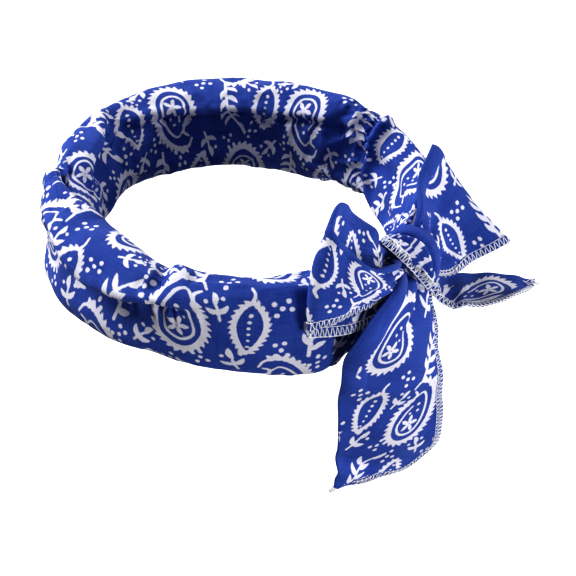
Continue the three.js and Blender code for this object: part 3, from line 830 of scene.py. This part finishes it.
def threads(name, grids):
    """Many threads as one piece. Each thread's flat place is its run along it and its share of a turn."""
    points, faces, flats, count = [], [], [], 0
    for grid in grids:
        run = np.linalg.norm(np.diff(grid.mean(1), axis=0), axis=-1)
        run = np.concatenate([[0], np.cumsum(run)])
        turn = np.arange(grid.shape[1] + 1) / grid.shape[1]
        flat = np.stack(np.broadcast_arrays(run[:, None], turn[None, :]), -1)
        body, quads, fans, corners = wrapped(grid, flat)
        points.append(body)
        faces += (quads + count).tolist() + (fans + count).tolist()
        flats += [corners.reshape(-1, 2), np.zeros((3 * len(fans), 2))]
        count += len(body)
    return made_piece(name, np.concatenate(points), faces, np.concatenate(flats), thread)


def overlocked(place, inward, normal, wall, seed, chain=0):
    """The threads on an edge. Each looper goes round the edge once a stitch: in to the needle line and out
    past the edge as a cosine, and over and under the cloth as a flattened sine. The needle threads rise and
    sink, and one more thread sways along the edge. A chain droops with the square of its run."""
    ahead = unit(np.gradient(place, axis=0))
    if chain:
        on = np.linspace(0, chain, 8)[1:, None]
        place = np.concatenate([place, place[-1] + on * ahead[-1] - chain_droop * on**2 * (0, 0, 1)])
        inward, normal = (np.concatenate([part, np.repeat(part[-1:], 7, 0)]) for part in (inward, normal))
        ahead = unit(np.gradient(place, axis=0))
    inward = unit(inward - np.sum(inward * ahead, -1, keepdims=True) * ahead)
    gone = np.concatenate([[0], np.cumsum(np.linalg.norm(np.diff(place, axis=0), axis=-1))])
    stitches = int(gone[-1] / stitch_pitch)
    cut = gone[-1] - chain
    draw = np.random.default_rng(seed)
    made = []

    def there(run, values):
        return np.stack([np.interp(run, gone, values[:, k]) for k in range(3)], -1)

    def path(run, in_by, over):
        return there(run, place) + in_by[:, None] * there(run, inward) + over[:, None] * there(run, normal)

    def narrowed(run):
        return np.interp(run, [cut, cut + chain_closing], [1, chain_width])

    for way in (1, -1):
        turn = np.arange(stitches * 8 + 1) / 8
        uneven = np.interp(turn, np.arange(stitches + 2), draw.normal(0, 0.06, stitches + 2))
        reach = np.interp(turn, np.arange(stitches + 2), draw.normal(0, 0.16, stitches + 2))
        run = (turn + uneven) * stitch_pitch
        angle = 2 * np.pi * turn * way
        in_by = stitch_width / 2 - 0.3 + (stitch_width / 2 + 0.15 + reach) * np.cos(angle)
        over = np.sign(np.sin(angle)) * np.abs(np.sin(angle)) ** 0.35 * (wall / 2 + 0.8 * thread_radius)
        over = over * (1 + 0.12 * way)
        made.append(tube(path(run, narrowed(run) * in_by, over), there(run, ahead), thread_radius))
    turn = np.arange(stitches * 4 + 1) / 4
    run = turn * stitch_pitch
    sink = wall / 2 + 0.3 * np.cos(2 * np.pi * turn) + 0.1
    for face in (1, -1):
        needle = path(run, stitch_width * narrowed(run), face * sink)
        made.append(tube(needle, there(run, normal), thread_radius * 0.85))
    along_edge = path(run, np.full(len(run), -0.35), 0.35 * np.sin(2 * np.pi * turn))
    made.append(tube(along_edge, there(run, normal) + 0.5 * there(run, inward), thread_radius * 1.2))
    return made


for number, (node, edging) in enumerate(edgings.items()):
    edge_stitches = threads(node + "_stitches", overlocked(wall=cloth_wall, seed=number, **edging))
    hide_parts(node + "_edging")

# The tube's seam. The same overlocking closes the stuffed tube: a narrow flap of the two cloth edges that
# stands off its lower side, with thread all round it.
flap_stand, flap_sunk, flap_allowance = 2.2, 5.5, 10
flap_half = 0.6
stuffed_rows = slice(ends[1] + 1, ends[2])
seam_line, seam_out = band[stuffed_rows, 0], away_from(band)[stuffed_rows, 0]
flap_root, flap_edge = (seam_line + step * seam_out for step in (-flap_sunk, flap_stand))
flap_inward = unit(flap_root - flap_edge)
flap_normal = unit(np.cross(np.gradient(flap_edge, axis=0), flap_inward))
flap = np.stack(
    [line + side * flap_half * flap_normal
     for side, line in ((1, flap_root), (1, flap_edge), (-1, flap_edge), (-1, flap_root))],
    1,
)
flap_run = band_run[stuffed_rows]
flap_flat = np.stack(np.broadcast_arrays(flap_run, np.array([[0, 6, 7, 13, 14.0]])), -1)
seam_flap = sewn("seam_flap", flap, flap_flat, np.full(flap.shape[:2], open_ground))
seam_threads = overlocked(flap_edge, flap_inward, flap_normal, 2 * flap_half, 9)
seam_stitches = threads("seam_stitches", seam_threads)
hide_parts("tube_seam")

# The knot. The strip wrapped once over itself and pulled tight: a half barrel of crescent pleats that run
# between two pinched ends, its overlocked edge across the front, over a core of gathered cloth.
knot_ends = np.array([(-6.5, 16.0, 11.1), (-5.8, -12.8, -9.7)])
knot_bulge, knot_front, knot_behind = 21.0, 15.0, 10
knot_core = 8.0
knot_rows, knot_columns = 120, 260
knot_fold = 52
knot_valleys = ((17, 2.0, 3.6), (34, 2.4, 4), (knot_fold, 2.5, 4.6), (128, 2, 5))
knot_along, knot_round = 24, 0.4
wrap_begins, wrap_stops = -1, 236

axis_run = knot_ends[1] - knot_ends[0]
axis = unit(axis_run)
knot_faces = np.array([-0.695, -0.434, 0.574])
toward = unit(knot_faces - (knot_faces @ axis) * axis)
bulging = np.cross(toward, axis)


def knot_radius(station, swing):
    """The wrapped strip's distance from the knot's axis. Across the axis it is an ellipse, with a valley and
    a lip where each pleat folds; along the axis it swells and closes as a circle does, fuller towards the
    upper end. Outside the wrap the gathered core shows."""
    wrap_share = np.clip((swing - wrap_begins) / 5, 0, 1) * np.clip((wrap_stops - swing) / 40, 0, 1)
    wrap_share = wrap_share**2 * (3 - 2 * wrap_share)
    barrel = (1 - station**2) ** 0.44 * (1 - 0.16 * station)
    across, beside = np.cos(np.radians(swing)), np.sin(np.radians(swing))
    reach = np.where(across > 0, knot_front, knot_behind)
    wrap = 1 / np.sqrt((across / reach) ** 2 + (beside / knot_bulge) ** 2)
    for fold, depth, wide in knot_valleys:
        bend = 5 * np.sin(3 * station + fold)
        wrap = wrap - depth * np.exp(-(((swing - fold - bend) / wide) ** 2))
        wrap = wrap + 0.5 * depth * np.exp(-(((swing - fold - bend + 1.8 * wide) / wide) ** 2))
    core = knot_core + 0.9 * np.sin(np.radians(swing * 7) + 2 * station)
    return barrel * (core + (wrap - core) * wrap_share)


def on_knot(station, swing):
    """Places on the knot, from how far along its axis and round it they are."""
    middle = knot_middle + knot_ends.mean(0) + station[..., None] * axis_run / 2
    ways = np.cos(np.radians(swing))[..., None] * toward + np.sin(np.radians(swing))[..., None] * bulging
    return middle + knot_radius(station, swing)[..., None] * ways


knot_station = np.linspace(-0.985, 0.985, knot_rows)[:, None]
knot_swing = np.linspace(wrap_begins, wrap_begins + 360, knot_columns, endpoint=False)[None, :]
knot_grid = on_knot(knot_station, knot_swing)
closing_swing = np.linspace(wrap_begins, wrap_begins + 360, knot_columns + 1)[None, :]
knot_flat = np.stack(
    np.broadcast_arrays(knot_station * knot_along + 32, closing_swing * knot_round + 8), -1
)
knot_print = printed(*np.moveaxis(knot_flat[:, :-1], -1, 0))
plain_fold = 0.3 * (40 - np.abs(knot_swing - knot_fold - 40))
plain_knot = np.maximum(plain_fold, hem_plain - 0.3 * knot_swing)
knot_cloth = sewn("knot_cloth", knot_grid, knot_flat, np.maximum(knot_print, plain_knot))
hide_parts("knot")

hem_station = np.linspace(-0.95, 0.95, 300)
hem = on_knot(hem_station, np.full(300, 4.0))
hem_inward = unit(on_knot(hem_station, np.full(300, 9.0)) - hem)
hem_normal = unit(np.cross(np.gradient(hem, axis=0), hem_inward))
if np.sum(hem_normal @ toward) < 0:
    hem_normal = -hem_normal
knot_stitches = threads("knot_stitches", overlocked(hem, hem_inward, hem_normal, 0.8, 12))

# The floor and the light. A plain pale dish well below the hanging tail, swept up all round; a large soft
# lamp above and behind, a weak one from the right and a low one from the front; and a soft white sky that
# is brightest at the horizon.
floor_drop = 12
floor_reach, floor_rises, floor_sweep = 6, 2.5, 0.5
floor_rings, floor_sides = 60, 48
floor_turns = np.arange(floor_sides) * 2 * np.pi / floor_sides
ring_step, turn_step = np.meshgrid(np.linspace(0.01, floor_reach, floor_rings), floor_turns, indexing="ij")
swept = floor_sweep * np.clip(ring_step - floor_rises, 0, None) ** 2 + solid_box[0][2] - floor_drop * mm
floor_grid = np.stack([ring_step * np.cos(turn_step), ring_step * np.sin(turn_step), swept], -1)
floor_faces = closed_grid(floor_rings, floor_sides)[0].tolist() + [list(range(floor_sides))]
floor_mesh = bpy.data.meshes.new("floor")
floor_mesh.from_pydata(floor_grid.reshape(-1, 3).tolist(), [], floor_faces)
floor_mesh.shade_smooth()
paper = new_material(
    "pale_paper",
    Base_Color=(0.45, 0.45, 0.45, 1),
    Roughness=0.95,
    Emission_Color=(1, 1, 1, 1),
    Emission_Strength=0.7,
)[0]
floor_mesh.materials.append(paper)
floor = bpy.data.objects.new("floor", floor_mesh)
bpy.context.scene.collection.objects.link(floor)
floor.visible_diffuse = False
floor.visible_shadow = False

world = bpy.data.worlds.new("studio")
world.use_nodes = True
air = Shade(world.node_tree)
above = air.node("ShaderNodeSeparateXYZ", (), {0: air.node("ShaderNodeTexCoord")}, 2)
horizon = (above * 40 + 0.5).kept() * (4.6 - above * 20).kept()
sky = world.node_tree.nodes["Background"]
(horizon * 0.25 + above.kept() * 0.3 + 0.03).feeds(sky, "Strength")
sky.inputs["Color"].default_value = (1, 1, 1, 1)
bpy.context.scene.world = world
bpy.context.scene.view_settings.view_transform = "Standard"
bpy.context.scene.view_settings.look = "High Contrast"


def set_down(holder, place, back):
    """Puts a lamp or camera at a place in metres, upright, with its back turned along a unit vector."""
    side = unit(np.cross((0, 0, 1), back))
    turn = np.column_stack([side, np.cross(back, side), back])
    holder.matrix_world = Matrix([[*turn[k], place[k]] for k in range(3)] + [[0, 0, 0, 1]])


def lamp(name, place, size, power):
    """A square soft lamp that shines at the middle of the ring."""
    light = bpy.data.lights.new(name, "AREA")
    light.size, light.energy = size, power
    holder = bpy.data.objects.new(name, light)
    bpy.context.scene.collection.objects.link(holder)
    holder.visible_camera = False
    set_down(holder, place, unit(np.array(place, float)))


lamp("key", (-0.05, 1.5, 1.2), 1.0, 44)
lamp("front", (0.8, -1.15, 0.2), 0.4, 9)
lamp("low", (-0.65, -1.2, -0.02), 0.35, 8)

# The camera. It stands where the picture was taken from, 35 degrees above the band and round to its left,
# and aims so that the middle of the neck hollow falls on its place in the picture.
camera_round, camera_above, camera_away = -58, 35, 930
lens_pixels, picture_pixels = 1754, 576
neck_pixel = (244.4, 212.3)
sensor_width = 36

round_by, above_by = np.radians(camera_round), np.radians(camera_above)
camera_right = np.array([np.cos(round_by), np.sin(round_by), 0])
camera_back = np.array(
    [np.sin(round_by) * np.cos(above_by), -np.cos(round_by) * np.cos(above_by), np.sin(above_by)]
)
camera_up = np.cross(camera_back, camera_right)
pixel = camera_away / lens_pixels
aim_right, aim_down = (picture_pixels / 2 - place for place in neck_pixel)
aim = camera_right * aim_right * pixel - camera_up * aim_down * pixel
stand = camera_back * camera_away
lens = bpy.data.cameras.new("camera")
lens.sensor_width = sensor_width
lens.lens = sensor_width * lens_pixels / picture_pixels
lens.clip_start, lens.clip_end = 0.05, 20
camera = bpy.data.objects.new("camera", lens)
bpy.context.scene.collection.objects.link(camera)
set_down(camera, stand * mm, unit(stand - aim))
bpy.context.scene.camera = camera
